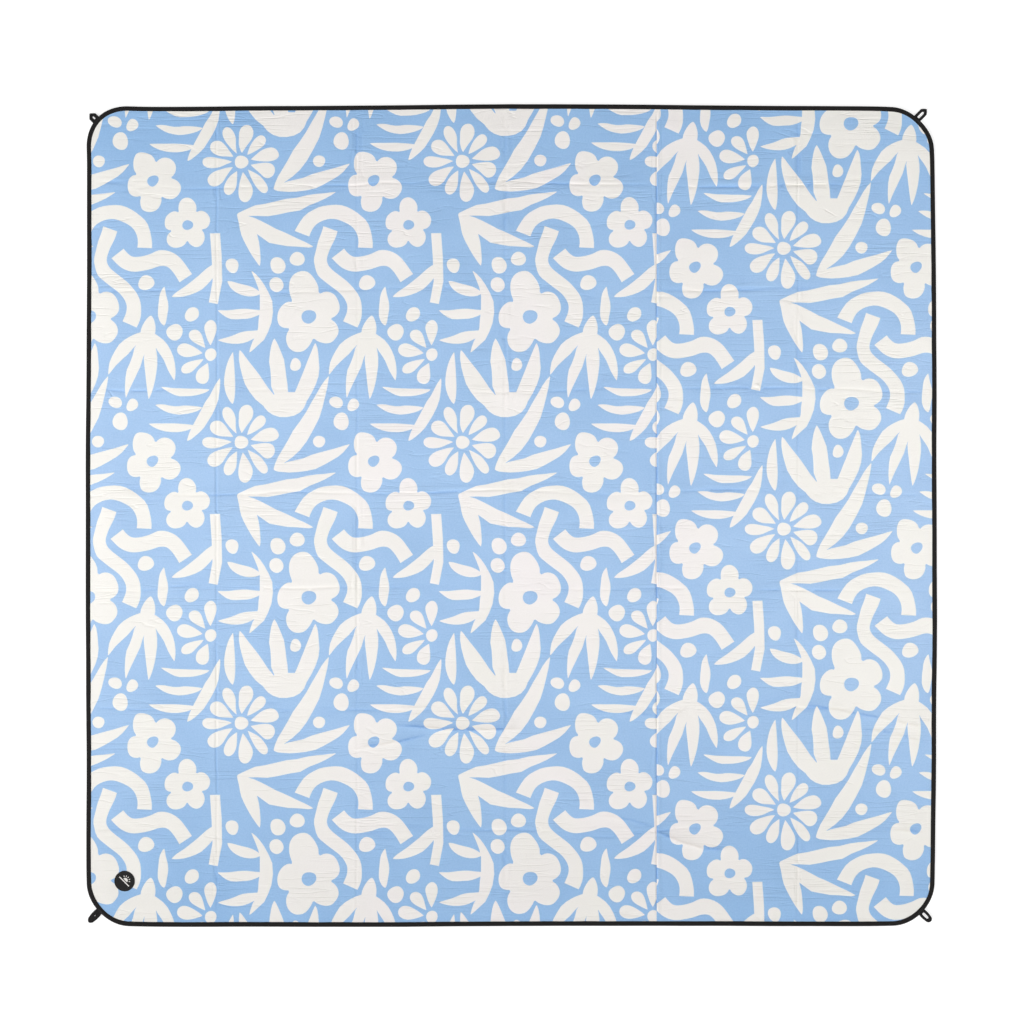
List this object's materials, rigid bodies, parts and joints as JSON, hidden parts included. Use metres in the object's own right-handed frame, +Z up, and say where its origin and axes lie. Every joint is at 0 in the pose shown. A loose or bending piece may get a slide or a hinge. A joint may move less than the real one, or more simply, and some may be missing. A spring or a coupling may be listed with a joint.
{
  "type": "camp blanket",
  "caption": "Padded picnic blanket with a printed cotton face, waterproof backing, taped edge, corner peg loops and a round badge; it folds up in strips.",
  "frame": {"origin": "on the ground under the middle of the blanket's outline, with the blanket lying flat and face up", "axes": "+X to the right along the long side, +Y to the back edge, +Z up out of the printed face; the badge is at front left"},
  "size_m": [2, 1.93, 0.0057],
  "materials": {
    "printed_cotton": "matte plain weave, sky blue ground printed round cream shapes",
    "wadding": "matte needled polyester",
    "coated_backing": "dull coated plain weave",
    "binding_tape": "matte ribbed tape",
    "loop_tape": "matte woven tape",
    "badge": "satin moulded rubber",
    "badge_mark": "satin moulded rubber"
  },
  "bodies": {
    "strip_1": {"face_main_1": "printed_cotton", "wadding_1": "wadding", "backing_1": "coated_backing", "binding_left": "binding_tape", "badge_patch": "badge", "badge_mark": "badge_mark"},
    "strip_2": {"face_main_2": "printed_cotton", "wadding_2": "wadding", "backing_2": "coated_backing", "binding_front_2": "binding_tape", "binding_back_2": "binding_tape"},
    "strip_3": {"face_main_3": "printed_cotton", "wadding_3": "wadding", "backing_3": "coated_backing", "binding_front_3": "binding_tape", "binding_back_3": "binding_tape"},
    "strip_4": {"face_main_4": "printed_cotton", "wadding_4": "wadding", "backing_4": "coated_backing", "binding_front_4": "binding_tape", "binding_back_4": "binding_tape"},
    "strip_5": {"face_side_5": "printed_cotton", "wadding_5": "wadding", "backing_5": "coated_backing", "binding_front_5": "binding_tape", "binding_back_5": "binding_tape"},
    "strip_6": {"face_side_6": "printed_cotton", "wadding_6": "wadding", "backing_6": "coated_backing", "binding_right": "binding_tape"},
    "peg_loop_front_left": {"peg_loop_front_left": "loop_tape"},
    "peg_loop_front_right": {"peg_loop_front_right": "loop_tape"},
    "peg_loop_back_left": {"peg_loop_back_left": "loop_tape"},
    "peg_loop_back_right": {"peg_loop_back_right": "loop_tape"}
  },
  "joints": [
    {"name": "fold_1", "type": "hinge", "parent": "strip_2", "child": "strip_1", "pos_m": [-0.692, 0, 0.007], "axis": [0, 1, 0], "range_deg": [0, 179.9]},
    {"name": "fold_2", "type": "hinge", "parent": "strip_3", "child": "strip_2", "pos_m": [-0.362, 0, 0.012], "axis": [0, 1, 0], "range_deg": [0, 179.9]},
    {"name": "fold_3", "type": "hinge", "parent": "strip_3", "child": "strip_4", "pos_m": [-0.014, 0, 0.026], "axis": [0, -1, 0], "range_deg": [0, 179.9]},
    {"name": "fold_4", "type": "hinge", "parent": "strip_4", "child": "strip_5", "pos_m": [0.343, 0, 0.012], "axis": [0, -1, 0], "range_deg": [0, 179.9]},
    {"name": "fold_5", "type": "hinge", "parent": "strip_5", "child": "strip_6", "pos_m": [0.674, 0, 0.007], "axis": [0, -1, 0], "range_deg": [0, 179.9]},
    {"name": "peg_loop_front_left_lift", "type": "hinge", "parent": "strip_1", "child": "peg_loop_front_left", "pos_m": [-0.97142, -0.93642, 0.0026], "axis": [0.7071, -0.7071, 0], "range_deg": [-90, 0]},
    {"name": "peg_loop_front_right_lift", "type": "hinge", "parent": "strip_6", "child": "peg_loop_front_right", "pos_m": [0.97142, -0.93642, 0.0026], "axis": [0.7071, 0.7071, 0], "range_deg": [-90, 0]},
    {"name": "peg_loop_back_left_lift", "type": "hinge", "parent": "strip_1", "child": "peg_loop_back_left", "pos_m": [-0.97142, 0.93642, 0.0026], "axis": [-0.7071, -0.7071, 0], "range_deg": [-90, 0]},
    {"name": "peg_loop_back_right_lift", "type": "hinge", "parent": "strip_6", "child": "peg_loop_back_right", "pos_m": [0.97142, 0.93642, 0.0026], "axis": [-0.7071, 0.7071, 0], "range_deg": [-90, 0]}
  ]
}
